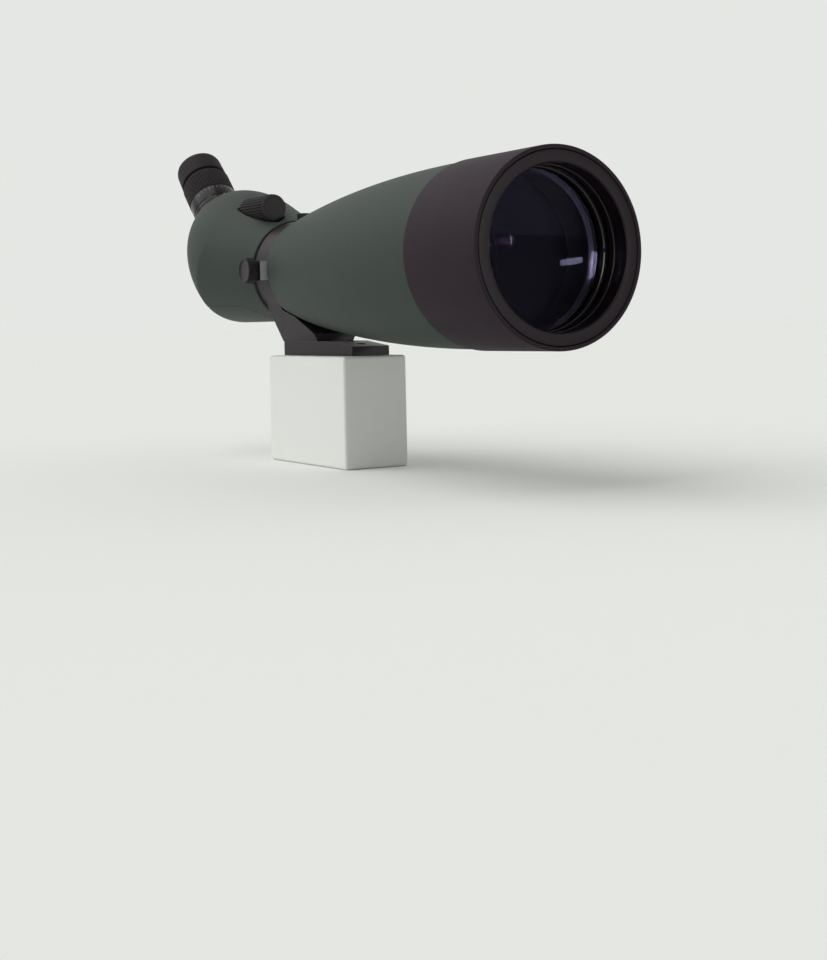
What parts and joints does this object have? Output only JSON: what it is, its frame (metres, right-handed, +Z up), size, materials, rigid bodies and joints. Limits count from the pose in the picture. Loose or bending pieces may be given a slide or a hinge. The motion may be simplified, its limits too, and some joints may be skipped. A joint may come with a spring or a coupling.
{
  "type": "spotting scope",
  "caption": "Angled zoom spotting scope with a tapered barrel, sliding sunshade, focus knob, zoom eyepiece and a rotating tripod collar on a long foot.",
  "frame": {"origin": "mouth of the front tripod hole, on the underside of the foot", "axes": "+X along the optical axis towards the objective, +Y to the user's left, +Z up"},
  "size_m": [0.509, 0.114, 0.1651],
  "materials": {
    "sunshade": "matte",
    "green_body": "matte",
    "black_metal": "matte",
    "grey_metal": "satin",
    "gloss_black": "gloss",
    "steel": "satin",
    "dark_steel": "satin",
    "brass": "satin",
    "coated_glass": "gloss",
    "prism_glass": "gloss",
    "felt": "matte",
    "rubber": "matte",
    "seal_rubber": "satin",
    "black_plastic": "matte",
    "red_dot": "gloss",
    "satin_cap": "satin"
  },
  "bodies": {
    "mount": {"collar": "grey_metal", "collar_liner": "black_plastic", "foot_plate": "grey_metal", "foot_screws": "dark_steel"},
    "scope": {"objective_cell": "black_metal", "objective_front_lens": "coated_glass", "lens_spacer": "black_plastic", "objective_rear_lens": "coated_glass", "objective_retainer": "black_metal", "objective_seal": "seal_rubber", "barrel": "green_body", "front_baffle": "black_metal", "rear_baffle": "black_metal", "housing": "green_body", "base_cover": "green_body", "base_screws": "dark_steel", "prism": "prism_glass", "prism_cage": "black_metal", "prism_clip": "steel", "cage_screws": "steel", "guide_rods": "steel", "focus_bushing": "brass", "eyepiece_barrel": "black_metal", "field_stop": "black_metal", "scale_ring": "gloss_black", "index_dot": "red_dot", "zoom_guide": "black_metal", "eye_cell": "black_metal", "eye_lens": "coated_glass", "eye_lens_ring": "black_metal", "eyecup_sleeve": "black_plastic", "eyecup": "rubber"},
    "shade": {"sunshade": "sunshade", "shade_rim": "sunshade", "shade_felt": "felt"},
    "focus_drive": {"focus_knob": "rubber", "focus_cap": "black_plastic", "focus_shaft": "steel", "focus_clip": "steel"},
    "focus_slider": {"focus_carriage": "black_plastic", "focus_lens": "coated_glass", "focus_lens_ring": "black_metal"},
    "zoom_drive": {"zoom_ring": "rubber", "zoom_cam": "grey_metal", "zoom_pin": "steel"},
    "lower_zoom": {"lower_zoom_cell": "black_metal", "lower_zoom_lens": "coated_glass"},
    "upper_zoom": {"upper_zoom_cell": "black_metal", "upper_zoom_lens": "coated_glass"},
    "clamp_shoe": {"clamp_shoe": "brass"},
    "lock_knob": {"lock_knob": "rubber", "lock_cap": "satin_cap", "lock_screw": "steel"}
  },
  "joints": [
    {"name": "collar_turn", "type": "hinge", "parent": "mount", "child": "scope", "pos_m": [-0.0795, 0, 0.0605], "axis": [1, 0, 0], "continuous": true},
    {"name": "shade_slide", "type": "slide", "parent": "scope", "child": "shade", "axis": [1, 0, 0], "range_m": [0, 0.039]},
    {"name": "focus_turn", "type": "hinge", "parent": "scope", "child": "focus_drive", "pos_m": [-0.12, -0.0145, 0.1075], "axis": [1, 0, 0], "range_deg": [-360, 360]},
    {"name": "focus_travel", "type": "slide", "parent": "scope", "child": "focus_slider", "axis": [1, 0, 0], "range_m": [-0.0061, 0.0061]},
    {"name": "zoom_turn", "type": "hinge", "parent": "scope", "child": "zoom_drive", "pos_m": [-0.1784, 0, 0.0605], "axis": [-0.7071, 0, 0.7071], "range_deg": [-60, 60]},
    {"name": "lower_zoom_travel", "type": "slide", "parent": "scope", "child": "lower_zoom", "axis": [-0.7071, 0, 0.7071], "range_m": [-0.00401, 0.00401]},
    {"name": "upper_zoom_travel", "type": "slide", "parent": "scope", "child": "upper_zoom", "axis": [-0.7071, 0, 0.7071], "range_m": [-0.00401, 0.00401]},
    {"name": "clamp_travel", "type": "slide", "parent": "mount", "child": "clamp_shoe", "axis": [0, -1, 0], "range_m": [0, 0.00081]},
    {"name": "lock_turn", "type": "hinge", "parent": "clamp_shoe", "child": "lock_knob", "pos_m": [-0.0795, -0.042, 0.0605], "axis": [0, -1, 0], "range_deg": [0, 360]}
  ],
  "couplings": [
    {"joint": "focus_travel", "follows": "focus_turn", "m_per_rad": 0.00095493},
    {"joint": "lower_zoom_travel", "follows": "zoom_turn", "m_per_rad": 0.0038197},
    {"joint": "upper_zoom_travel", "follows": "zoom_turn", "m_per_rad": -0.0038197},
    {"joint": "clamp_travel", "follows": "lock_turn", "m_per_rad": 0.00012732}
  ]
}
